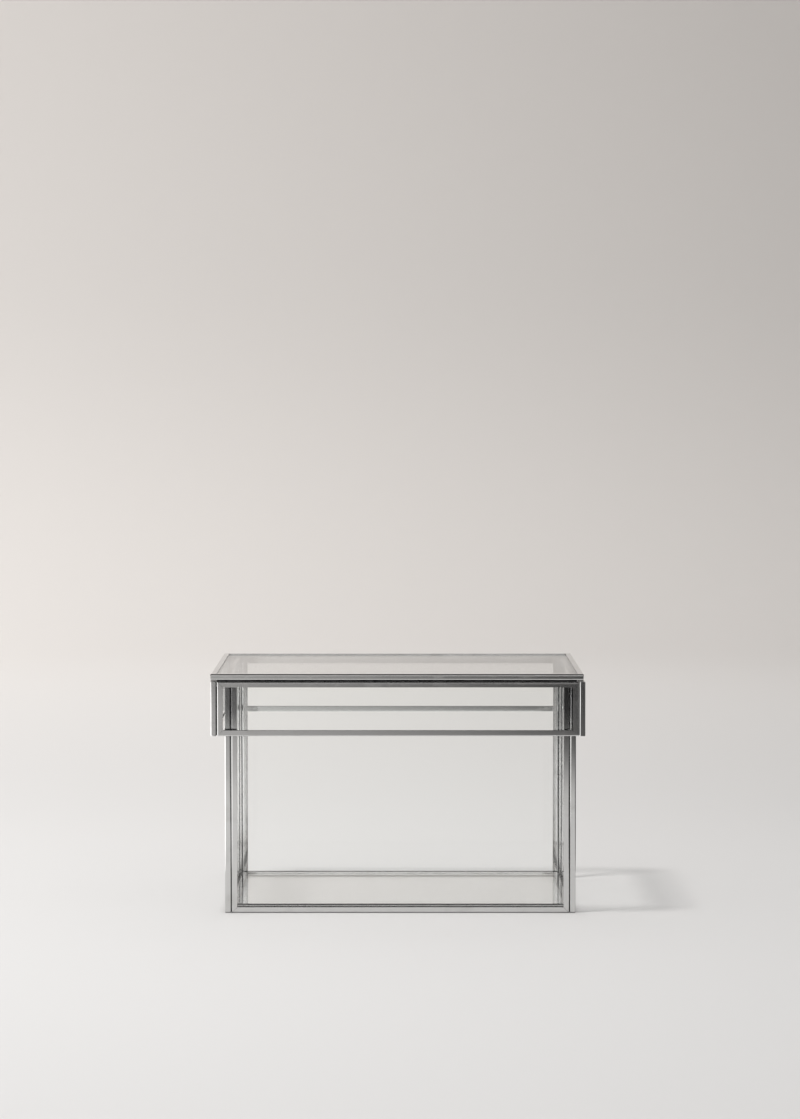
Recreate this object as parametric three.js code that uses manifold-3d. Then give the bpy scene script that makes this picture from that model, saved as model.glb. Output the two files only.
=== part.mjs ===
// Clear glass vanity trinket box: a five-sided glass tray under a loose, skirted glass lid.
// Every pane has a polished U-channel along each of its four edges, mitred at the corners,
// and neighbouring panes are joined by solder that runs behind or between their channels.
//
// Millimetres, +Z up. The origin is on the table, under the middle of the lid.
// +X is the right-hand end, -Y is the front.

import * as THREE from "three";
import { mergeVertices } from "three/addons/utils/BufferGeometryUtils.js";
import Module from "manifold-3d";

// ---- Driving dimensions ----

const LID_WIDTH = 200;
const LID_DEPTH = 141;
const LID_HEIGHT = 33.2; // from the skirt's lower edge to the top of the lid
const OVERALL_HEIGHT = 129;

const OVERHANG = 5.95; // how far the lid's skirt stands outside the tray on each side
const BASE_SHIFT_X = 1.3; // the loose lid sits this far to the left of the tray's middle
const TOP_SHORT_RIGHT = 0.9; // the top panel stops this far short of the right skirt's face

const GLASS_THICKNESS = 2;
const CHANNEL_WIDTH = 3.1; // across the pane's edge, over both flanges
const CHANNEL_LEG = 3; // how far the flanges reach over the glass, from the web's outer face
const CHANNEL_RADIUS = 0.7; // along the two folds of the channel
const FOLD_STEPS = 4; // facets on each fold
const GLASS_PLAY = 0.05; // between glass and metal, on each side of the pane

const MITRE_GAP = 0.15; // at each end of a strip
const CORNER_GAP = 0.4; // between neighbouring panels
const TOP_GAP = 1; // solder line between the lid's top panel and its skirt
const FLOOR_RAISE = 1.1; // the floor panel's underside above the table
const LID_REST_GAP = 0.15; // between the tray's rim and the glass that rests on it

const SEAM_PLAY = 0.08; // between solder and channel
const SEAM_LEG = 1; // legs of the triangular seams in the upright inner corners
const FLOOR_SEAM_LEG = 0.6; // legs of the seam around the floor
const FLOOR_SEAM_LAND = 0.15; // width that its upper edge keeps
const TOP_SEAM_SETBACK = 0.8; // the lid's seam behind the channels' outer faces
const TOP_SEAM_WIDTH = 2.9;

// ---- Dimensions that follow ----

const CHANNEL_METAL = (CHANNEL_WIDTH - GLASS_THICKNESS) / 2 - GLASS_PLAY;

const LID_BOTTOM = OVERALL_HEIGHT - LID_HEIGHT;
const TOP_PANEL_Z = OVERALL_HEIGHT - CHANNEL_WIDTH / 2;
const SKIRT_TOP = OVERALL_HEIGHT - CHANNEL_WIDTH - TOP_GAP;
const SKIRT_HEIGHT = SKIRT_TOP - LID_BOTTOM;

const BASE_WIDTH = LID_WIDTH - 2 * OVERHANG;
const BASE_DEPTH = LID_DEPTH - 2 * OVERHANG;
const BASE_HEIGHT = TOP_PANEL_Z - GLASS_THICKNESS / 2 - LID_REST_GAP;
const FLOOR_TOP = FLOOR_RAISE + CHANNEL_WIDTH;

const MERGE_DISTANCE = 1e-5; // vertices nearer than this are one

// ---- Materials ----

const glass = new THREE.MeshStandardMaterial({
  color: 0xe4ebe7,
  roughness: 0.03,
  metalness: 0,
  transparent: true,
  opacity: 0.3,
});
const nickel = new THREE.MeshStandardMaterial({ color: 0xb9b7b2, roughness: 0.16, metalness: 1 });
const solder = new THREE.MeshStandardMaterial({ color: 0x8f8d89, roughness: 0.42, metalness: 1 });

// ---- Panels ----

// Section of a channel. X is the depth in from the web, Y runs across the pane's edge.
function channelSection() {
  const half = CHANNEL_WIDTH / 2;
  const slot = half - CHANNEL_METAL;
  const fold = half - CHANNEL_RADIUS;
  const section = new THREE.Shape();
  section.moveTo(CHANNEL_LEG, -slot);
  section.lineTo(CHANNEL_METAL, -slot);
  section.lineTo(CHANNEL_METAL, slot);
  section.lineTo(CHANNEL_LEG, slot);
  section.lineTo(CHANNEL_LEG, half);
  section.lineTo(CHANNEL_RADIUS, half);
  section.absarc(CHANNEL_RADIUS, fold, CHANNEL_RADIUS, Math.PI / 2, Math.PI);
  section.lineTo(0, -fold);
  section.absarc(CHANNEL_RADIUS, -fold, CHANNEL_RADIUS, Math.PI, 1.5 * Math.PI);
  section.lineTo(CHANNEL_LEG, -half);
  section.closePath();
  return section;
}

// A straight channel whose two ends are cut at 45 degrees, longest along its web.
function mitredChannel(length) {
  const strip = new THREE.ExtrudeGeometry(channelSection(), {
    depth: 1,
    steps: 1,
    bevelEnabled: false,
    curveSegments: FOLD_STEPS,
  });
  const place = strip.attributes.position;
  for (let i = 0; i < place.count; i += 1) {
    const cutBack = MITRE_GAP + place.getX(i);
    place.setZ(i, (place.getZ(i) - 0.5) * (length - 2 * cutBack));
  }
  strip.computeVertexNormals();
  return strip;
}

// One framed pane, flat in XY and centred. `edges` names its channels: low X, high X, low Y, high Y.
function panel(name, width, height, edges) {
  const group = new THREE.Group();

  const inset = 2 * (CHANNEL_METAL + GLASS_PLAY);
  const pane = new THREE.BoxGeometry(width - inset, height - inset, GLASS_THICKNESS);
  const paneMesh = new THREE.Mesh(pane, glass);
  paneMesh.name = `${name}_glass`;
  group.add(paneMesh);

  // The strip's web faces away from the pane, so each side turns the strip a quarter further.
  const sides = [
    { edge: edges[0], length: height, x: -width / 2, y: 0, turn: 0 },
    { edge: edges[1], length: height, x: width / 2, y: 0, turn: Math.PI },
    { edge: edges[2], length: width, x: 0, y: -height / 2, turn: Math.PI / 2 },
    { edge: edges[3], length: width, x: 0, y: height / 2, turn: -Math.PI / 2 },
  ];
  for (const side of sides) {
    const strip = new THREE.Mesh(mitredChannel(side.length), nickel);
    strip.name = `${name}_channel_${side.edge}`;
    strip.rotation.x = -Math.PI / 2;
    const arm = new THREE.Group();
    arm.position.set(side.x, side.y, 0);
    arm.rotation.z = side.turn;
    arm.add(strip);
    group.add(arm);
  }
  return group;
}

const ACROSS = ["left", "right", "bottom", "top"];
const ALONG = ["front", "back", "bottom", "top"];
const LEVEL = ["left", "right", "front", "back"];

// Front and back walls: the panel's width runs along X and its height along Z.
function crossWall(name, width, height, y, z) {
  const wall = panel(name, width, height, ACROSS);
  wall.rotation.x = Math.PI / 2;
  wall.position.set(0, y, z);
  return wall;
}

// Side walls: the panel's width runs along Y and its height along Z.
function sideWall(name, depth, height, x, z) {
  const wall = panel(name, depth, height, ALONG);
  wall.rotation.set(Math.PI / 2, 0, Math.PI / 2, "ZXY");
  wall.position.set(x, 0, z);
  return wall;
}

// Four upright panels: the side walls run the full depth, and the others fit between them.
function fourWalls(name, width, depth, height, bottom) {
  const group = new THREE.Group();
  const middle = bottom + height / 2;
  const sideX = (width - CHANNEL_WIDTH) / 2;
  const crossY = (depth - CHANNEL_WIDTH) / 2;
  const crossWidth = width - 2 * (CHANNEL_WIDTH + CORNER_GAP);
  group.add(crossWall(`${name}_front`, crossWidth, height, -crossY, middle));
  group.add(crossWall(`${name}_back`, crossWidth, height, crossY, middle));
  group.add(sideWall(`${name}_left`, depth, height, -sideX, middle));
  group.add(sideWall(`${name}_right`, depth, height, sideX, middle));
  return group;
}

// ---- Solder ----

const wasm = await Module();
wasm.setup();

function toSolid(geometry) {
  const bare = geometry.clone();
  bare.deleteAttribute("normal");
  bare.deleteAttribute("uv");
  const merged = mergeVertices(bare, MERGE_DISTANCE);
  return new wasm.Manifold(
    new wasm.Mesh({
      numProp: 3,
      vertProperties: new Float32Array(merged.attributes.position.array),
      triVerts: new Uint32Array(merged.index.array),
    }),
  );
}

function join(geometries) {
  const whole = geometries.map(toSolid).reduce((sum, solid) => sum.add(solid));
  const result = whole.getMesh();
  const joined = new THREE.BufferGeometry();
  joined.setAttribute("position", new THREE.Float32BufferAttribute(result.vertProperties, 3));
  joined.setIndex(Array.from(result.triVerts));
  joined.computeVertexNormals();
  return joined;
}

// A triangular bead in an inner corner at (x, y), reaching back towards the middle of the box.
function uprightSeam(x, y, leg, bottom, top) {
  const inX = -Math.sign(x);
  const inY = -Math.sign(y);
  const cornerX = x + inX * SEAM_PLAY;
  const cornerY = y + inY * SEAM_PLAY;
  const outline = new THREE.Shape([
    new THREE.Vector2(cornerX, cornerY),
    new THREE.Vector2(cornerX + inX * leg, cornerY),
    new THREE.Vector2(cornerX, cornerY + inY * leg),
  ]);
  const seam = new THREE.ExtrudeGeometry(outline, { depth: top - bottom, bevelEnabled: false });
  seam.translate(0, 0, bottom);
  return seam;
}

function fourUprightSeams(width, depth, leg, bottom, top) {
  const x = width / 2 - CHANNEL_WIDTH;
  const y = depth / 2 - CHANNEL_WIDTH;
  return [
    uprightSeam(-x, -y, leg, bottom, top),
    uprightSeam(x, -y, leg, bottom, top),
    uprightSeam(-x, y, leg, bottom, top),
    uprightSeam(x, y, leg, bottom, top),
  ];
}

function rectangle(width, depth) {
  return [
    new THREE.Vector2(-width / 2, -depth / 2),
    new THREE.Vector2(width / 2, -depth / 2),
    new THREE.Vector2(width / 2, depth / 2),
    new THREE.Vector2(-width / 2, depth / 2),
  ];
}

// A flat rectangular ring between two heights.
function flatSeam(width, depth, ringWidth, bottom, top) {
  const outline = new THREE.Shape(rectangle(width, depth));
  outline.holes.push(new THREE.Path(rectangle(width - 2 * ringWidth, depth - 2 * ringWidth)));
  const seam = new THREE.ExtrudeGeometry(outline, { depth: top - bottom, bevelEnabled: false });
  seam.translate(0, 0, bottom);
  return seam;
}

// The ring around the floor slopes: its upper edge is drawn out to the walls.
function floorSeam() {
  const width = BASE_WIDTH - 2 * (CHANNEL_WIDTH + SEAM_PLAY);
  const depth = BASE_DEPTH - 2 * (CHANNEL_WIDTH + SEAM_PLAY);
  const bottom = FLOOR_TOP + SEAM_PLAY;
  const ring = flatSeam(width, depth, FLOOR_SEAM_LEG, bottom, bottom + FLOOR_SEAM_LEG);
  const place = ring.attributes.position;
  for (let i = 0; i < place.count; i += 1) {
    const outer = Math.abs(place.getX(i)) > width / 2 - FLOOR_SEAM_LEG / 2;
    const upper = place.getZ(i) > bottom + FLOOR_SEAM_LEG / 2;
    if (upper && !outer) {
      const drawn = FLOOR_SEAM_LEG - FLOOR_SEAM_LAND;
      place.setX(i, place.getX(i) + Math.sign(place.getX(i)) * drawn);
      place.setY(i, place.getY(i) + Math.sign(place.getY(i)) * drawn);
    }
  }
  return ring;
}

function baseSolder() {
  const bottom = FLOOR_TOP + SEAM_PLAY;
  const top = BASE_HEIGHT - CHANNEL_RADIUS;
  const uprights = fourUprightSeams(BASE_WIDTH, BASE_DEPTH, SEAM_LEG, bottom, top);
  return join([floorSeam(), ...uprights]);
}

function lidSolder() {
  const bottom = SKIRT_TOP + SEAM_PLAY;
  const top = SKIRT_TOP + TOP_GAP - SEAM_PLAY;
  const width = LID_WIDTH - TOP_SHORT_RIGHT - 2 * TOP_SEAM_SETBACK;
  const depth = LID_DEPTH - 2 * TOP_SEAM_SETBACK;
  const ring = flatSeam(width, depth, TOP_SEAM_WIDTH, bottom, top);
  ring.translate(-TOP_SHORT_RIGHT / 2, 0, 0);
  const foot = LID_BOTTOM + CHANNEL_RADIUS;
  return join([ring, ...fourUprightSeams(LID_WIDTH, LID_DEPTH, SEAM_LEG, foot, top)]);
}

// ---- Assembly ----

const base = fourWalls("base", BASE_WIDTH, BASE_DEPTH, BASE_HEIGHT, 0);
base.position.x = BASE_SHIFT_X;

const floorInset = 2 * (CHANNEL_WIDTH + CORNER_GAP);
const floor = panel("base_floor", BASE_WIDTH - floorInset, BASE_DEPTH - floorInset, LEVEL);
floor.position.z = FLOOR_RAISE + CHANNEL_WIDTH / 2;
base.add(floor);

const baseSeams = new THREE.Mesh(baseSolder(), solder);
baseSeams.name = "base_solder";
base.add(baseSeams);

const lid = fourWalls("lid", LID_WIDTH, LID_DEPTH, SKIRT_HEIGHT, LID_BOTTOM);

const top = panel("lid_top", LID_WIDTH - TOP_SHORT_RIGHT, LID_DEPTH, LEVEL);
top.position.set(-TOP_SHORT_RIGHT / 2, 0, TOP_PANEL_Z);
lid.add(top);

const lidSeams = new THREE.Mesh(lidSolder(), solder);
lidSeams.name = "lid_solder";
lid.add(lidSeams);

const box = new THREE.Group();
box.add(base, lid);

export default box;
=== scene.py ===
import math

import bmesh
import bpy
from mathutils import Matrix, Vector


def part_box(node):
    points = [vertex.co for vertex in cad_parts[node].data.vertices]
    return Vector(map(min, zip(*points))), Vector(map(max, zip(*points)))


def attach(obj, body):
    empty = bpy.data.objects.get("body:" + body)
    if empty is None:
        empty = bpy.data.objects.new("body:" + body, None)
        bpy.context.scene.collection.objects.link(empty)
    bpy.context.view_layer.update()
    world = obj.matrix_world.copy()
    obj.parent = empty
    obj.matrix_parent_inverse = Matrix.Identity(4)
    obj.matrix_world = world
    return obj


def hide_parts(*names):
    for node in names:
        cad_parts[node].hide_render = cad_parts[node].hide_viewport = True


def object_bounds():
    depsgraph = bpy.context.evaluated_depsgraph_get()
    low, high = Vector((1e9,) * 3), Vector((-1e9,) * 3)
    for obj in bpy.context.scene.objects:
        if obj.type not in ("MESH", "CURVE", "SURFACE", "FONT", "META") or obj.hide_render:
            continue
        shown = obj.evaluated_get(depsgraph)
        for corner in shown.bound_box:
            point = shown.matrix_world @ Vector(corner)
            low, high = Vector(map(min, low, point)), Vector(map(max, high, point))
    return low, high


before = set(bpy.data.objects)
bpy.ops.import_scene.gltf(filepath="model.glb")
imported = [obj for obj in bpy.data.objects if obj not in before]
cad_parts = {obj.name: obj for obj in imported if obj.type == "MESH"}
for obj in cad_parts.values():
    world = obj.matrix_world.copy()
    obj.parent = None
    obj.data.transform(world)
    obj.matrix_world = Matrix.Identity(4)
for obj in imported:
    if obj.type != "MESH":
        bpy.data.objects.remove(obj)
cad_low, cad_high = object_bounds()

MM = 0.001

# ---- Camera ----

CAMERA_AWAY = 1.779  # from the lid's front face
CAMERA_HEIGHT = 0.2808
CAMERA_X = 0.0011
CAMERA_DIP = math.radians(2.916)  # below level
CAMERA_LENS = 107.72
CAMERA_SENSOR = 36


def make_camera():
    data = bpy.data.cameras.new("camera")
    data.sensor_width = CAMERA_SENSOR
    data.lens = CAMERA_LENS
    camera = bpy.data.objects.new("camera", data)
    camera.location = (CAMERA_X, cad_low.y - CAMERA_AWAY, CAMERA_HEIGHT)
    camera.rotation_euler = (math.pi / 2 - CAMERA_DIP, 0, 0)
    bpy.context.scene.collection.objects.link(camera)
    bpy.context.scene.camera = camera


make_camera()

# ---- Shader building ----


class Value:
    """A socket that carries a number, with arithmetic that adds Math nodes."""

    def __init__(self, material, socket):
        self.material = material
        self.socket = socket

    def combine(self, operation, *others, first=None):
        inputs = [self, *others] if first is None else [first, self]
        return self.material.node(
            "ShaderNodeMath", {"operation": operation}, dict(enumerate(inputs))
        )

    def __add__(self, other):
        return self.combine("ADD", other)

    def __radd__(self, other):
        return self.combine("ADD", first=other)

    def __sub__(self, other):
        return self.combine("SUBTRACT", other)

    def __rsub__(self, other):
        return self.combine("SUBTRACT", first=other)

    def __mul__(self, other):
        return self.combine("MULTIPLY", other)

    def __rmul__(self, other):
        return self.combine("MULTIPLY", first=other)

    def most(self, other):
        return self.combine("MAXIMUM", other)

    def least(self, other):
        return self.combine("MINIMUM", other)

    def smooth(self, start, end):
        """0 up to `start` and 1 from `end`, eased between them; `end` may be the lower one."""
        settings = {"interpolation_type": "SMOOTHSTEP"}
        rising = start < end
        limits = {
            "Value": self,
            "From Min": min(start, end),
            "From Max": max(start, end),
            "To Min": 0.0 if rising else 1.0,
            "To Max": 1.0 if rising else 0.0,
        }
        return self.material.node("ShaderNodeMapRange", settings, limits)


class Material:
    """A node material under construction."""

    def __init__(self, name):
        self.data = bpy.data.materials.new(name)
        self.data.use_nodes = True
        self.data.node_tree.nodes.clear()
        self.out = self.data.node_tree.nodes.new("ShaderNodeOutputMaterial")

    def node(self, kind, settings=None, inputs=None, output=0):
        made = self.data.node_tree.nodes.new(kind)
        for name, value in (settings or {}).items():
            setattr(made, name, value)
        for name, value in (inputs or {}).items():
            if isinstance(value, Value):
                self.data.node_tree.links.new(value.socket, made.inputs[name])
            else:
                made.inputs[name].default_value = value
        return Value(self, made.outputs[output])

    def place(self):
        return self.node("ShaderNodeTexCoord", output="Object")

    def axis(self, index):
        return self.node("ShaderNodeSeparateXYZ", inputs={0: self.place()}, output=index)

    def noise(self, scale, detail=2.0, vector=None):
        inputs = {"Vector": vector or self.place(), "Scale": scale, "Detail": detail}
        return self.node("ShaderNodeTexNoise", inputs=inputs)

    def stretched(self, scale):
        return self.node("ShaderNodeMapping", inputs={"Vector": self.place(), "Scale": scale})

    def blend(self, share, first, second):
        """A colour between two colours."""
        settings = {"data_type": "RGBA"}
        return self.node("ShaderNodeMix", settings, {0: share, 6: first, 7: second}, output=2)

    def tinted(self, amount, tint):
        """A tint as bright as `amount` says."""
        return self.node(
            "ShaderNodeVectorMath", {"operation": "SCALE"}, {0: tint, "Scale": amount}
        )

    def bump(self, height, distance):
        return self.node("ShaderNodeBump", inputs={"Height": height, "Distance": distance})

    def finish(self, shader):
        self.data.node_tree.links.new(shader.socket, self.out.inputs["Surface"])
        return self.data


# ---- Materials ----

GLASS_COLOUR = (0.995, 0.9995, 0.997, 1)
GLASS_OPEN_COLOUR = (0.998, 1.0, 0.999, 1)
GLASS_INDEX = 1.22
SMUDGE_SCALE = 28.0
SMUDGE_RANGE = (0.52, 0.78)
SMUDGE_ROUGHNESS = 0.012

# Bright and dull shades of the plating at the front, and lighter copies of the same plating at the
# rear and on the lid's top panel, as painted light.
NICKEL_BRIGHT = (0.680, 0.682, 0.680, 1)
NICKEL_DULL = (0.560, 0.558, 0.550, 1)
REAR_PAINTED_BRIGHT = (0.850, 0.852, 0.850, 1)
REAR_PAINTED_DULL = (0.770, 0.768, 0.760, 1)
TOP_PAINTED_BRIGHT = (0.780, 0.782, 0.780, 1)
TOP_PAINTED_DULL = (0.680, 0.678, 0.670, 1)
# Near-black nickel used as painted shade.
NICKEL_PAINTED_SHADE = (0.130, 0.130, 0.132, 1)
PATCH_SCALE = 95.0
PATCH_RANGE = (0.48, 0.80)
PATCH_DULLING = 0.55
LINE_DULLING = 0.25
POLISH_ROUGHNESS = 0.03
LINE_ROUGHNESS = 0.045
PATCH_ROUGHNESS = 0.07
GRAIN_ROUGHNESS = 0.015
GRAIN_SCALE = 2600.0
WAVE_SCALE = 70.0
WAVE_HEIGHT = 0.005 * MM

# Painted shade: the strips are darkened above a height behind the lid's skirt, and the darkening
# fades towards the rear.
SKIRT_SHADE_DEPTH = 0.85
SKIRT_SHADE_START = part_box("lid_front_channel_bottom")[0].z - 6 * MM
SKIRT_SHADE_FADE = 22 * MM
SKIRT_SHADE_FRONT = -30 * MM
SKIRT_SHADE_BACK = 20 * MM
# Painted contact shadow: the lowest part of the strips is darkened where they meet the table.
CONTACT_SHADE_TOP = 0.7 * MM
CONTACT_SHADE_FULL = 0.2 * MM

SOLDER_BRIGHT = (0.610, 0.600, 0.590, 1)
SOLDER_DULL = (0.440, 0.435, 0.430, 1)
# Near-black solder: painted shade in the grooves, inner corners and seams.
PAINTED_SHADE_BRIGHT = (0.070, 0.070, 0.072, 1)
PAINTED_SHADE_DULL = (0.020, 0.020, 0.021, 1)
SOLDER_PATCH_SCALE = 260.0
SOLDER_PATCH_RANGE = (0.35, 0.75)
SOLDER_ROUGHNESS = 0.18
SOLDER_PATCH_ROUGHNESS = 0.20
RIPPLE_SCALE = 480.0
RIPPLE_HEIGHT = 0.03 * MM


def clear_glass():
    """Clear glass with faint smudges, which lets lamp light and soft light straight through."""
    m = Material("clear_glass")
    smudge = m.noise(SMUDGE_SCALE, 4.0).smooth(*SMUDGE_RANGE)
    body = m.node(
        "ShaderNodeBsdfPrincipled",
        inputs={
            "Base Color": GLASS_COLOUR,
            "Roughness": SMUDGE_ROUGHNESS * smudge,
            "IOR": GLASS_INDEX,
            "Transmission Weight": 1.0,
        },
    )
    open_way = m.node("ShaderNodeBsdfTransparent", inputs={"Color": GLASS_OPEN_COLOUR})
    lamp_ray = m.node("ShaderNodeLightPath", output="Is Shadow Ray")
    soft_ray = m.node("ShaderNodeLightPath", output="Is Diffuse Ray")
    share = lamp_ray.most(soft_ray)
    return m.finish(m.node("ShaderNodeMixShader", inputs={0: share, 1: body, 2: open_way}))


def drawn_nickel(name, draw_scale, bright, dull, with_painted_shade=False):
    """Bright strip with fine lines along the way it was drawn, and a few duller patches.

    Strips with painted shade are darkened behind the lid's skirt, where it covers their front, and
    get a painted contact shadow where they meet the table."""
    m = Material(name)
    lines = m.noise(1.0, 3.0, m.stretched(draw_scale))
    patches = m.noise(PATCH_SCALE, 4.0).smooth(*PATCH_RANGE)
    waves = m.noise(WAVE_SCALE, 1.0)
    grain = m.noise(GRAIN_SCALE)
    roughness = POLISH_ROUGHNESS + LINE_ROUGHNESS * lines
    roughness = roughness + PATCH_ROUGHNESS * patches + GRAIN_ROUGHNESS * grain
    colour = m.blend(PATCH_DULLING * patches + LINE_DULLING * lines, bright, dull)
    # Painted shade behind the lid's skirt, and a painted contact shadow at the table.
    if with_painted_shade:
        covered = m.axis(2).smooth(SKIRT_SHADE_START, SKIRT_SHADE_START + SKIRT_SHADE_FADE)
        skirt_shade = covered * m.axis(1).smooth(SKIRT_SHADE_BACK, SKIRT_SHADE_FRONT)
        contact_shade = m.axis(2).smooth(CONTACT_SHADE_TOP, CONTACT_SHADE_FULL)
        colour = m.blend(SKIRT_SHADE_DEPTH * skirt_shade.most(contact_shade), colour, NICKEL_PAINTED_SHADE)
    return m.finish(
        m.node(
            "ShaderNodeBsdfPrincipled",
            inputs={
                "Base Color": colour,
                "Metallic": 1.0,
                "Roughness": roughness,
                "Normal": m.bump(waves, WAVE_HEIGHT),
            },
        )
    )


def flowed_solder(name, bright, dull):
    """Solder with a rippled skin that is smoother where it is bright."""
    m = Material(name)
    patches = m.noise(SOLDER_PATCH_SCALE, 5.0).smooth(*SOLDER_PATCH_RANGE)
    ripples = m.noise(RIPPLE_SCALE)
    return m.finish(
        m.node(
            "ShaderNodeBsdfPrincipled",
            inputs={
                "Base Color": m.blend(patches, bright, dull),
                "Metallic": 1.0,
                "Roughness": SOLDER_ROUGHNESS + SOLDER_PATCH_ROUGHNESS * patches,
                "Normal": m.bump(ripples, RIPPLE_HEIGHT),
            },
        )
    )


LINES_ALONG = 14.0
LINES_ACROSS = 2400.0

# How the drawing lines are scaled on strips that run along X, Y and Z, in that order.
DRAW_WAYS = {
    "across": (LINES_ALONG, LINES_ACROSS, LINES_ACROSS),
    "deep": (LINES_ACROSS, LINES_ALONG, LINES_ACROSS),
    "upright": (LINES_ACROSS, LINES_ACROSS, LINES_ALONG),
}


def nickel_set(name, bright, dull, with_painted_shade=False):
    """The same plating with its lines along each way that a strip can run."""
    return {
        way: drawn_nickel(f"nickel_{name}_{way}", scale, bright, dull, with_painted_shade)
        for way, scale in DRAW_WAYS.items()
    }


GLASS = clear_glass()
SOLDER = flowed_solder("flowed_solder", SOLDER_BRIGHT, SOLDER_DULL)
# Solder painted near black as painted shade.
PAINTED_SHADE_SOLDER = flowed_solder("painted_shade_solder", PAINTED_SHADE_BRIGHT, PAINTED_SHADE_DULL)
NICKEL = {
    # The base's strips carry painted shade.
    "base": nickel_set("base", NICKEL_BRIGHT, NICKEL_DULL, with_painted_shade=True),
    "lid": nickel_set("lid", NICKEL_BRIGHT, NICKEL_DULL),
    # Lighter copies of the plating for the rear and the top: painted light.
    "rear": nickel_set("rear", REAR_PAINTED_BRIGHT, REAR_PAINTED_DULL),
    "top": nickel_set("top", TOP_PAINTED_BRIGHT, TOP_PAINTED_DULL),
}

for name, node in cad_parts.items():
    node.data.materials.clear()
    node.data.materials.append(GLASS if name.endswith("_glass") else SOLDER)

# ---- Modelling helpers ----

NEAR = 0.001 * MM
BEVEL_STEPS = 2
SHARP_ANGLE = math.radians(40)
SOFT_ANGLE = math.radians(80)

PARTS = {"VERT": "verts", "EDGE": "edges", "FACE": "faces"}


def middle(part):
    if hasattr(part, "co"):
        return part.co
    return sum((vert.co for vert in part.verts), Vector()) / len(part.verts)


def pick(piece, kind, wanted):
    """Selects the vertices, edges or faces of a piece in edit mode whose middle passes a test."""
    bpy.ops.mesh.select_mode(type=kind)
    bpy.ops.mesh.select_all(action="DESELECT")
    shape = bmesh.from_edit_mesh(piece.data)
    for part in getattr(shape, PARTS[kind]):
        if wanted(middle(part)):
            part.select_set(True)
    shape.select_flush_mode()
    bmesh.update_edit_mesh(piece.data)


def add_plate(width, depth):
    """A flat plate in XY around the origin, left in edit mode."""
    bpy.ops.object.select_all(action="DESELECT")
    bpy.ops.mesh.primitive_plane_add(size=1)
    plate = bpy.context.object
    plate.scale = (width, depth, 1)
    bpy.ops.object.transform_apply(scale=True)
    bpy.ops.object.mode_set(mode="EDIT")
    return plate


def apply_modifier(piece, kind, **settings):
    modifier = piece.modifiers.new(kind.lower(), kind)
    for name, value in settings.items():
        setattr(modifier, name, value)
    bpy.ops.object.modifier_apply(modifier=modifier.name)


def finish_mesh(piece, edge_radius, smooth_angle=SHARP_ANGLE):
    """Closes edit mode, softens the sharp edges and smooths the rest."""
    bpy.ops.mesh.select_all(action="SELECT")
    bpy.ops.mesh.normals_make_consistent(inside=False)
    bpy.ops.object.mode_set(mode="OBJECT")
    apply_modifier(
        piece,
        "BEVEL",
        width=edge_radius,
        segments=BEVEL_STEPS,
        limit_method="ANGLE",
        angle_limit=SHARP_ANGLE,
    )
    bpy.ops.object.shade_smooth_by_angle(angle=smooth_angle)
    apply_modifier(piece, "WEIGHTED_NORMAL", weight=100, keep_sharp=True)


def put(template, name, matrix, body, material):
    """Places a copy of a modelled piece, with a mesh of its own, and lets it ride on a body."""
    piece = template.copy()
    piece.data = template.data.copy()
    piece.name = name
    bpy.context.scene.collection.objects.link(piece)
    bpy.ops.object.select_all(action="DESELECT")
    piece.select_set(True)
    bpy.context.view_layer.objects.active = piece
    piece.matrix_world = matrix
    bpy.ops.object.transform_apply(location=True, rotation=True, scale=True)
    piece.data.materials.clear()
    piece.data.materials.append(material)
    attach(piece, body)
    return piece


# ---- The panels, as the frame has them ----

FACING = {
    "left": Vector((-1, 0, 0)),
    "right": Vector((1, 0, 0)),
    "front": Vector((0, -1, 0)),
    "back": Vector((0, 1, 0)),
    "bottom": Vector((0, 0, -1)),
    "top": Vector((0, 0, 1)),
    "floor": Vector((0, 0, -1)),
}
SIDES = ("left", "right", "front", "back", "bottom", "top")
PANELS = {
    "base": ("front", "back", "left", "right", "floor"),
    "lid": ("front", "back", "left", "right", "top"),
}

strip_low, strip_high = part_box("lid_top_channel_front")
CHANNEL_WIDTH = strip_high.z - strip_low.z
CHANNEL_LEG = strip_high.y - strip_low.y


def along(vector, size):
    """How much of a box's size lies along an axis vector."""
    return sum(abs(v) * s for v, s in zip(vector, size))


def edges_of(side):
    """The four edges of a panel that faces to a side."""
    return [edge for edge in SIDES if abs(FACING[edge].dot(FACING[side])) < 0.5]


def panel_box(panel, side):
    """The lowest and highest corner of a panel's four strips together."""
    boxes = [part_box(f"{panel}_channel_{edge}") for edge in edges_of(side)]
    low = Vector([min(box[0][i] for box in boxes) for i in range(3)])
    high = Vector([max(box[1][i] for box in boxes) for i in range(3)])
    return low, high


def turned(run, across, inward, place):
    """Takes X to run, Y to across and Z to inward, and the origin to place."""
    matrix = Matrix((run, across, inward)).transposed().to_4x4()
    matrix.translation = place
    return matrix


# ---- Channel strips ----

SHEET_METAL = 0.5 * MM
FOLD_RADIUS = 0.52 * MM
FOLD_STEPS = 6
MITRE_GAP = 0.06 * MM  # at each end of a strip
STRIP_EDGE = 0.07 * MM
STRIP_TIP = 0.30 * MM  # the rounded outer tips of the mitres
TIP_STEPS = 3


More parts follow.
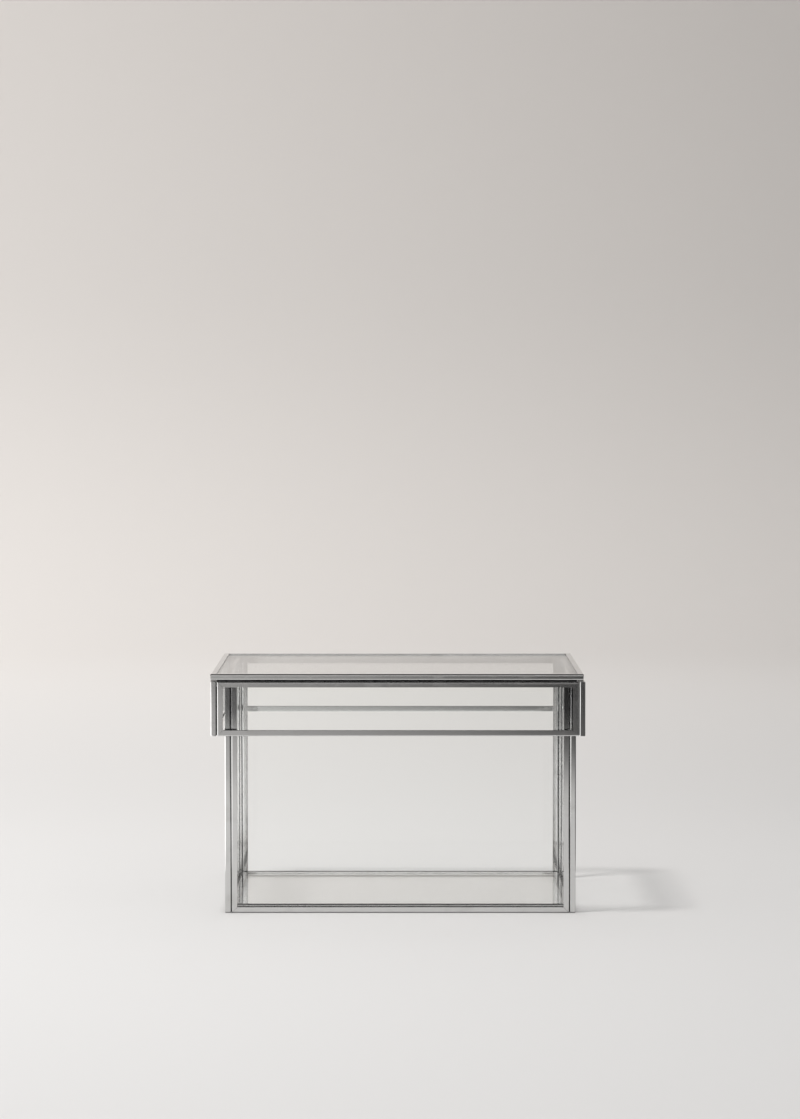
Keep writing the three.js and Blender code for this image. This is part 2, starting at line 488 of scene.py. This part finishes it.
def model_strip(length):
    """A U-channel along X. Its web lies in XY and its two legs reach up to the channel's depth."""
    strip = add_plate(length, CHANNEL_WIDTH)
    half = CHANNEL_WIDTH / 2
    pick(strip, "EDGE", lambda p: abs(abs(p.y) - half) < NEAR)
    bpy.ops.mesh.extrude_region_move(TRANSFORM_OT_translate={"value": (0, 0, CHANNEL_LEG)})
    pick(strip, "EDGE", lambda p: abs(abs(p.y) - half) < NEAR and abs(p.z) < NEAR)
    bpy.ops.mesh.bevel(offset=FOLD_RADIUS, segments=FOLD_STEPS, affect="EDGES")
    bpy.ops.object.mode_set(mode="OBJECT")
    apply_modifier(strip, "SOLIDIFY", thickness=SHEET_METAL, offset=1, use_even_offset=True)
    bpy.ops.object.mode_set(mode="EDIT")
    for end in (-1, 1):
        bpy.ops.mesh.select_all(action="SELECT")
        bpy.ops.mesh.bisect(
            plane_co=(end * (length / 2 - MITRE_GAP), 0, 0),
            plane_no=(end, 0, 1),
            use_fill=True,
            clear_outer=True,
        )
    tip = length / 2 - MITRE_GAP - NEAR
    pick(strip, "EDGE", lambda p: abs(p.x) > tip and abs(p.z) < NEAR)
    bpy.ops.mesh.bevel(offset=STRIP_TIP, segments=TIP_STEPS, affect="EDGES")
    finish_mesh(strip, STRIP_EDGE)
    return strip


def plating(body, side, edge, run):
    """The nickel of one strip, by its panel, its edge and the way that it runs."""
    # The rear and top strips take lighter copies of the plating: painted light.
    if side == "top":
        finishes = NICKEL["top"]
    elif "back" in (side, edge):
        finishes = NICKEL["rear"]
    else:
        finishes = NICKEL[body]
    longest = max(range(3), key=lambda i: abs(run[i]))
    return finishes[list(DRAW_WAYS)[longest]]


def make_strips(body, side):
    """The four channel strips of one panel, each in its CAD strip's place."""
    panel = f"{body}_{side}"
    low, high = panel_box(panel, side)
    centre = (low + high) / 2
    across = FACING[side]
    templates = {}
    for edge in edges_of(side):
        inward = -FACING[edge]
        run = across.cross(inward)
        length = along(run, high - low)
        size = round(length / NEAR)
        if size not in templates:
            templates[size] = model_strip(length)
        place = centre + FACING[edge] * along(FACING[edge], high - low) / 2
        matrix = turned(run, across, inward, place)
        finish = plating(body, side, edge, run)
        strip = put(
            templates[size], f"{panel}_strip_{edge}", matrix, body, finish
        )
        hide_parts(f"{panel}_channel_{edge}")
    for template in templates.values():
        bpy.data.objects.remove(template)


for body, sides in PANELS.items():
    for side in sides:
        make_strips(body, side)

# ---- Solder ----

BEAD_LEG = 0.35 * MM
BEAD_HOLLOW = 0.85  # share of the leg taken off by the bead's hollow face
BEAD_PLAY = 0.05 * MM
BEAD_LUMPS = 0.003 * MM
BEAD_STEPS = 5
BEAD_PROFILE = 0.12  # below a half, so that the face is hollow
BEAD_CUTS = 60
LUMPY_FROM = 0.3  # share of the leg, measured out from the corner
LUMP_SEED = 4

RING_WIDTH = 2.6 * MM
RING_SETBACK = 0.75 * MM
RING_CUTS = 24
RING_ROUNDING = 0.3  # share of the ring's smaller size
FLOOR_RING = 0.3 * MM

FLUSH = 0.12 * MM  # how far a fill's face stays behind the strips beside it
FILL_WIDTH = 3.6 * MM
FILL_DEPTH = 3.0 * MM
FILL_CUTS = 4
FILL_ROUNDING = 0.22  # share of the fill's smallest size

GROOVE_DROP = 2.6 * MM  # how far the corner solder has run down the upright grooves
GROOVE_SETBACK = 0.5 * MM
GROOVE_DEPTH = 2.2 * MM

base_low, base_high = panel_box("base_left", "left")
base_right = panel_box("base_right", "right")[1].x
skirt_low, skirt_high = panel_box("lid_left", "left")
skirt_right = panel_box("lid_right", "right")[1].x
top_low, top_high = panel_box("lid_top", "top")
floor_high = panel_box("base_floor", "floor")[1]
GROOVE_WIDTH = panel_box("lid_front", "front")[0].x - (skirt_low.x + CHANNEL_WIDTH)


def model_bead(length):
    """A bead along X that fills an inner corner: its two flat sides look to -Y and -Z."""
    bead = add_plate(length, BEAD_LEG)
    bpy.ops.mesh.select_all(action="SELECT")
    bpy.ops.transform.translate(value=(0, BEAD_LEG / 2, 0))
    bpy.ops.mesh.extrude_region_move(TRANSFORM_OT_translate={"value": (0, 0, BEAD_LEG)})
    far = BEAD_LEG - NEAR
    pick(bead, "EDGE", lambda p: p.y > far and p.z > far)
    bpy.ops.mesh.bevel(
        offset=BEAD_LEG * BEAD_HOLLOW, segments=BEAD_STEPS, profile=BEAD_PROFILE, affect="EDGES"
    )
    pick(bead, "EDGE", lambda p: abs(p.x) < NEAR)
    bpy.ops.mesh.subdivide(number_cuts=BEAD_CUTS)
    lumpy = BEAD_LEG * LUMPY_FROM
    pick(bead, "VERT", lambda p: p.y + p.z > lumpy and abs(p.x) < length / 2 - NEAR)
    bpy.ops.transform.vertex_random(offset=BEAD_LUMPS, uniform=1.0, normal=0.0, seed=LUMP_SEED)
    finish_mesh(bead, STRIP_EDGE, SOFT_ANGLE)
    return bead


def make_upright_beads(body, left, right, front, back, low, high):
    """A bead up each inner corner between the panels, painted near black as painted shade in the
    corners.
    """
    template = model_bead(high - low)
    height = (low + high) / 2
    corners = {
        "front_left": (left, front, Vector((1, 0, 0)), Vector((0, 1, 0))),
        "front_right": (right, front, Vector((0, 1, 0)), Vector((-1, 0, 0))),
        "back_right": (right, back, Vector((-1, 0, 0)), Vector((0, -1, 0))),
        "back_left": (left, back, Vector((0, -1, 0)), Vector((1, 0, 0))),
    }
    for corner, (x, y, across, inward) in corners.items():
        run = across.cross(inward)
        place = Vector((x, y, height)) + (across + inward) * BEAD_PLAY
        matrix = turned(run, across, inward, place)
        bead = put(template, f"{body}_bead_{corner}", matrix, body, PAINTED_SHADE_SOLDER)
        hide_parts(f"{body}_solder")
    bpy.data.objects.remove(template)


def make_ring(name, body, low, high, width, finish):
    """A flat rectangular ring of solder between two corners, with rounded long edges."""
    size = high - low
    ring = add_plate(size.x, size.y)
    pick(ring, "FACE", lambda p: True)
    bpy.ops.mesh.inset(thickness=width)
    bpy.ops.mesh.delete(type="FACE")
    bpy.ops.mesh.select_all(action="SELECT")
    bpy.ops.mesh.subdivide(number_cuts=RING_CUTS)
    bpy.ops.mesh.extrude_region_move(TRANSFORM_OT_translate={"value": (0, 0, size.z)})
    finish_mesh(ring, min(size.z, width) * RING_ROUNDING, SOFT_ANGLE)
    place = Matrix.Translation(((low.x + high.x) / 2, (low.y + high.y) / 2, low.z))
    made = put(ring, name, place, body, finish)
    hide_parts(f"{body}_solder")
    bpy.data.objects.remove(ring)


def make_fill(name, body, near, far, finish=SOLDER):
    """A small pillow of solder between two corners, which fills a joint between strips."""
    low = Vector(map(min, near, far))
    high = Vector(map(max, near, far))
    size = high - low
    fill = add_plate(size.x, size.y)
    bpy.ops.mesh.select_all(action="SELECT")
    bpy.ops.mesh.extrude_region_move(TRANSFORM_OT_translate={"value": (0, 0, size.z)})
    bpy.ops.mesh.select_all(action="SELECT")
    bpy.ops.mesh.subdivide(number_cuts=FILL_CUTS)
    finish_mesh(fill, min(size) * FILL_ROUNDING, SOFT_ANGLE)
    place = Matrix.Translation(((low.x + high.x) / 2, (low.y + high.y) / 2, low.z))
    put(fill, name, place, body, finish)
    bpy.data.objects.remove(fill)


make_upright_beads(
    "base",
    base_low.x + CHANNEL_WIDTH,
    base_right - CHANNEL_WIDTH,
    base_low.y + CHANNEL_WIDTH,
    base_high.y - CHANNEL_WIDTH,
    floor_high.z + BEAD_PLAY,
    base_high.z - FOLD_RADIUS,
)
make_upright_beads(
    "lid",
    skirt_low.x + CHANNEL_WIDTH,
    skirt_right - CHANNEL_WIDTH,
    skirt_low.y + CHANNEL_WIDTH,
    skirt_high.y - CHANNEL_WIDTH,
    skirt_low.z + FOLD_RADIUS,
    skirt_high.z,
)
# Both seam rings are painted near black: painted shade along the floor's edge and under the lid's
# top panel.
make_ring(
    "base_floor_seam",
    "base",
    Vector((base_low.x + CHANNEL_WIDTH, base_low.y + CHANNEL_WIDTH, floor_high.z))
    + Vector((BEAD_PLAY, BEAD_PLAY, BEAD_PLAY)),
    Vector((base_right - CHANNEL_WIDTH, base_high.y - CHANNEL_WIDTH, floor_high.z + FLOOR_RING))
    - Vector((BEAD_PLAY, BEAD_PLAY, 0)),
    FLOOR_RING,
    PAINTED_SHADE_SOLDER,
)
make_ring(
    "lid_top_seam",
    "lid",
    Vector((top_low.x + RING_SETBACK, top_low.y + RING_SETBACK, skirt_high.z + BEAD_PLAY)),
    Vector((top_high.x - RING_SETBACK, top_high.y - RING_SETBACK, top_low.z - BEAD_PLAY)),
    RING_WIDTH,
    PAINTED_SHADE_SOLDER,
)


def make_corner_fills():
    """Solder that has run out under the corners of the lid's top panel, and down the grooves."""
    for across, x in (("left", top_low.x), ("right", top_high.x)):
        for deep, y in (("front", top_low.y), ("back", top_high.y)):
            in_x = -math.copysign(1, x)
            in_y = -math.copysign(1, y)
            near = Vector((x + in_x * FLUSH, y + in_y * FLUSH, skirt_high.z))
            far = near + Vector((in_x * FILL_WIDTH, in_y * FILL_DEPTH, top_low.z - skirt_high.z))
            make_fill(f"lid_corner_fill_{deep}_{across}", "lid", near, far)
            edge = skirt_low.x if across == "left" else skirt_right
            near = Vector((edge + in_x * CHANNEL_WIDTH, y + in_y * FLUSH, skirt_high.z))
            far = near + Vector((in_x * GROOVE_WIDTH, in_y * FILL_DEPTH, -GROOVE_DROP))
            make_fill(f"lid_groove_fill_{deep}_{across}", "lid", near, far)


def make_groove_seams(body, left, right, front, back, low, high):
    """Solder painted near black deep in the upright grooves between neighbouring panels: painted
    shade in the grooves.
    """
    for across, x, in_x in (("left", left, 1), ("right", right, -1)):
        for deep, y, in_y in (("front", front, 1), ("back", back, -1)):
            near = Vector((x + in_x * CHANNEL_WIDTH, y + in_y * GROOVE_SETBACK, low))
            far = near + Vector((in_x * GROOVE_WIDTH, in_y * GROOVE_DEPTH, high - low))
            make_fill(f"{body}_groove_seam_{deep}_{across}", body, near, far, PAINTED_SHADE_SOLDER)


make_corner_fills()
make_groove_seams(
    "base",
    base_low.x,
    base_right,
    base_low.y,
    base_high.y,
    base_low.z + FOLD_RADIUS,
    base_high.z - FOLD_RADIUS,
)
make_groove_seams(
    "lid",
    skirt_low.x,
    skirt_right,
    skirt_low.y,
    skirt_high.y,
    skirt_low.z + FOLD_RADIUS,
    skirt_high.z - GROOVE_DROP,
)

# ---- Studio ----

BOWL_FLOOR = 1.7
BOWL_RIM = 0.05  # the flat ring between the first disc and the curve
BOWL_CURVE = 0.8
BOWL_WALL = 0.5  # above the curve
BOWL_SIDES = 128
CURVE_STEPS = 14

# The paper's brightness carries painted light and shade.
PAPER_NEAR_TINT = (1.0, 0.992, 0.987, 1)
PAPER_FAR_TINT = (1.0, 0.962, 0.93, 1)
PAPER_TINT_RANGE = (-0.6, 2.4)
PAPER_SHADE = 0.638
PAPER_BACK_GAIN = 0.145
PAPER_BACK_RANGE = (0.3, 1.6)
PAPER_WALL_LOSS = 0.085
PAPER_WALL_RANGE = (0.03, 0.45)
PAPER_SIDE_LOSS = 0.34  # for each metre to the right
PAPER_SIDE_REACH = 0.8
PAPER_ROUGHNESS = 0.95


def pale_paper():
    """Seamless paper with painted light and shade: paler to the left and the back, darker up the
    wall; warmer with distance.
    """
    m = Material("pale_paper")
    x = m.axis(0)
    y = m.axis(1)
    z = m.axis(2)
    sideways = 1.0 - PAPER_SIDE_LOSS * x.most(-PAPER_SIDE_REACH).least(PAPER_SIDE_REACH)
    floor = PAPER_SHADE + PAPER_BACK_GAIN * y.smooth(*PAPER_BACK_RANGE)
    amount = (floor - PAPER_WALL_LOSS * z.smooth(*PAPER_WALL_RANGE)) * sideways
    warm = m.blend(y.smooth(*PAPER_TINT_RANGE), PAPER_NEAR_TINT, PAPER_FAR_TINT)
    return m.finish(
        m.node(
            "ShaderNodeBsdfPrincipled",
            inputs={
                "Base Color": m.tinted(amount, warm),
                "Roughness": PAPER_ROUGHNESS,
                "Specular IOR Level": 0.0,
            },
        )
    )


def make_bowl():
    """A round floor that curves up into a wall on every side."""
    bpy.ops.object.select_all(action="DESELECT")
    bpy.ops.mesh.primitive_circle_add(
        vertices=BOWL_SIDES, radius=BOWL_FLOOR - BOWL_RIM, fill_type="NGON"
    )
    bowl = bpy.context.object
    bowl.name = "bowl"
    bpy.ops.object.mode_set(mode="EDIT")
    bpy.ops.mesh.select_mode(type="EDGE")
    radius = BOWL_FLOOR - BOWL_RIM
    height = 0.0
    rings = [(BOWL_FLOOR, 0.0)]
    for step in range(1, CURVE_STEPS + 1):
        turn = math.pi / 2 * step / CURVE_STEPS
        rings.append(
            (BOWL_FLOOR + BOWL_CURVE * math.sin(turn), BOWL_CURVE * (1 - math.cos(turn)))
        )
    rings.append((BOWL_FLOOR + BOWL_CURVE, BOWL_CURVE + BOWL_WALL))
    for next_radius, next_height in rings:
        bpy.ops.mesh.extrude_edges_move(
            TRANSFORM_OT_translate={"value": (0, 0, next_height - height)}
        )
        grow = next_radius / radius
        bpy.ops.transform.resize(value=(grow, grow, 1), center_override=(0, 0, next_height))
        radius, height = next_radius, next_height
    bpy.ops.mesh.select_all(action="SELECT")
    bpy.ops.mesh.normals_make_consistent(inside=True)
    bpy.ops.object.mode_set(mode="OBJECT")
    bpy.ops.object.shade_smooth()
    bowl.data.materials.append(pale_paper())


def card_glow(name, amount_of, tint):
    """Light that shows only in polished surfaces."""
    m = Material(name)
    light = m.node(
        "ShaderNodeEmission", inputs={"Color": m.tinted(amount_of(m), tint), "Strength": 1.0}
    )
    nothing = m.node("ShaderNodeBsdfTransparent")
    mirrored = m.node("ShaderNodeLightPath", output="Glossy Depth").least(1.0)
    m.data.cycles.emission_sampling = "NONE"
    return m.finish(m.node("ShaderNodeMixShader", inputs={0: mirrored, 1: nothing, 2: light}))


def stage_card(card, name, material):
    """Sets a card up in the studio, out of sight of the camera and of the soft light."""
    card.name = name
    card.data.materials.append(material)
    card.visible_camera = False
    card.visible_diffuse = False
    card.visible_shadow = False


FRONT_NEAR = -0.47
FRONT_FAR = -2.3
FRONT_HALF_WIDTH = 1.5
FRONT_HEIGHT = 1.6
FRONT_LIFT = 2 * MM
FRONT_TINT = (1.0, 0.98, 0.96)
NEAR_SHADE = 0.78
NEAR_SIDE_LOSS = 0.35  # for each metre to the right
NEAR_SIDE_REACH = 0.4
AWAY_RANGE = (-0.45, -0.95)
AWAY_SHADE = 0.34
AWAY_SIDE_LOSS = 1.4  # for each metre to the right
AWAY_LEAST = 0.09
AWAY_MOST = 0.60
DISTANCE_LOSS = 0.35
DISTANCE_RANGE = (-1.05, -1.5)
RISE_RANGE = (0.0, 0.25)
RISE_SHARE = 0.05
BAND_SHADE = 0.7
BAND_RANGE = (0.47, 0.40)


def front_amount(m):
    """Bright beside the box, darker away from it and to the right, nearly black off the floor.

    A second reflection sees a pale band low on the upright part."""
    x = m.axis(0)
    y = m.axis(1)
    z = m.axis(2)
    near = NEAR_SHADE - NEAR_SIDE_LOSS * x.most(-NEAR_SIDE_REACH).least(NEAR_SIDE_REACH)
    far = (AWAY_SHADE - AWAY_SIDE_LOSS * x).most(AWAY_LEAST).least(AWAY_MOST)
    far = far * (1.0 - DISTANCE_LOSS * y.smooth(*DISTANCE_RANGE))
    away = y.smooth(*AWAY_RANGE)
    floor = near * (1.0 - away) + far * away
    again = (m.node("ShaderNodeLightPath", output="Glossy Depth") - 1.0).most(0.0).least(1.0)
    pale = BAND_SHADE * again * z.smooth(*BAND_RANGE)
    rise = z.smooth(*RISE_RANGE)
    return floor * (1.0 - rise) + (RISE_SHARE * floor + pale) * rise


def make_front_card():
    """A card on the floor in front of the box, turned up at its far edge."""
    card = add_plate(FRONT_HALF_WIDTH * 2, FRONT_NEAR - FRONT_FAR)
    bpy.ops.mesh.select_all(action="SELECT")
    bpy.ops.transform.translate(value=(0, (FRONT_NEAR + FRONT_FAR) / 2, FRONT_LIFT))
    pick(card, "EDGE", lambda p: p.y < FRONT_FAR + NEAR)
    bpy.ops.mesh.extrude_edges_move(TRANSFORM_OT_translate={"value": (0, 0, FRONT_HEIGHT)})
    bpy.ops.object.mode_set(mode="OBJECT")
    stage_card(card, "front_card", card_glow("front_glow", front_amount, FRONT_TINT))


SIDE_NEAR = 0.22
SIDE_FAR = 1.5
SIDE_FRONT = -1.3
SIDE_BACK = 0.7
SIDE_LIFT = 4 * MM
SIDE_TINT = (1.0, 0.99, 0.98)
SIDE_SHADE = 0.13
SIDE_LEFT_GAIN = 1.9
SIDE_RANGE = (0.1, -0.1)


def side_amount(m):
    """Bright to the left and dim to the right."""
    return SIDE_SHADE + SIDE_LEFT_GAIN * m.axis(0).smooth(*SIDE_RANGE)


def make_side_cards():
    """Cards on the floor to the left and right of the box, which show in the strips' folds."""
    glow = card_glow("side_glow", side_amount, SIDE_TINT)
    for name, way in (("left_card", -1), ("right_card", 1)):
        card = add_plate(SIDE_FAR - SIDE_NEAR, SIDE_BACK - SIDE_FRONT)
        bpy.ops.mesh.select_all(action="SELECT")
        middle_x = way * (SIDE_NEAR + SIDE_FAR) / 2
        bpy.ops.transform.translate(value=(middle_x, (SIDE_FRONT + SIDE_BACK) / 2, SIDE_LIFT))
        bpy.ops.object.mode_set(mode="OBJECT")
        stage_card(card, name, glow)


OVERHEAD_HEIGHT = 1.25
OVERHEAD_FRONT = -0.8
OVERHEAD_BACK = 1.3
OVERHEAD_HALF_WIDTH = 1.4
OVERHEAD_TINT = (1.0, 0.99, 0.98)
OVERHEAD_SHADE = 0.02
OVERHEAD_REAR_GAIN = 0.33
OVERHEAD_RANGE = (0.35, 0.75)


def overhead_amount(m):
    """Nearly dark above the front, brighter above the rear."""
    return OVERHEAD_SHADE + OVERHEAD_REAR_GAIN * m.axis(1).smooth(*OVERHEAD_RANGE)


def make_overhead_card():
    """A level card high above the box, which shows in the metal that faces up."""
    card = add_plate(OVERHEAD_HALF_WIDTH * 2, OVERHEAD_BACK - OVERHEAD_FRONT)
    bpy.ops.mesh.select_all(action="SELECT")
    middle_y = (OVERHEAD_FRONT + OVERHEAD_BACK) / 2
    bpy.ops.transform.translate(value=(0, middle_y, OVERHEAD_HEIGHT))
    bpy.ops.object.mode_set(mode="OBJECT")
    glow = card_glow("overhead_glow", overhead_amount, OVERHEAD_TINT)
    stage_card(card, "overhead_card", glow)


KEY_TURN = math.radians(28)  # from X towards the rear
KEY_DROP = 2.65  # for each unit that the light goes sideways
KEY_WAY = Vector((math.cos(KEY_TURN), math.sin(KEY_TURN), -KEY_DROP))
KEY_DISTANCE = 1.6
KEY_SIZE = 0.26
KEY_POWER = 9.0
KEY_COLOUR = (1.0, 0.985, 0.97)


def make_key():
    """A small lamp high on the left that throws the shadow on the right."""
    data = bpy.data.lights.new("key", "AREA")
    data.shape = "DISK"
    data.size = KEY_SIZE
    data.energy = KEY_POWER
    data.color = KEY_COLOUR
    key = bpy.data.objects.new("key", data)
    key.location = -KEY_WAY.normalized() * KEY_DISTANCE
    key.rotation_euler = KEY_WAY.to_track_quat("-Z", "Y").to_euler()
    key.visible_glossy = False
    bpy.context.scene.collection.objects.link(key)


WORLD_COLOUR = (1.0, 0.995, 0.99, 1)
WORLD_STRENGTH = 1.0


def make_world():
    world = bpy.data.worlds.new("world")
    world.use_nodes = True
    background = world.node_tree.nodes["Background"]
    background.inputs["Color"].default_value = WORLD_COLOUR
    background.inputs["Strength"].default_value = WORLD_STRENGTH
    world.cycles_visibility.glossy = False
    bpy.context.scene.world = world


PANE_BOUNCES = 32  # enough to cross every pane in the way and come back
MIRROR_BOUNCES = 24
OPEN_BOUNCES = 24


def allow_bounces():
    cycles = bpy.context.scene.cycles
    cycles.max_bounces = PANE_BOUNCES
    cycles.transmission_bounces = PANE_BOUNCES
    cycles.glossy_bounces = MIRROR_BOUNCES
    cycles.transparent_max_bounces = OPEN_BOUNCES


make_bowl()
make_front_card()
make_side_cards()
make_overhead_card()
make_key()
make_world()
allow_bounces()
bpy.context.scene.view_settings.view_transform = "Standard"
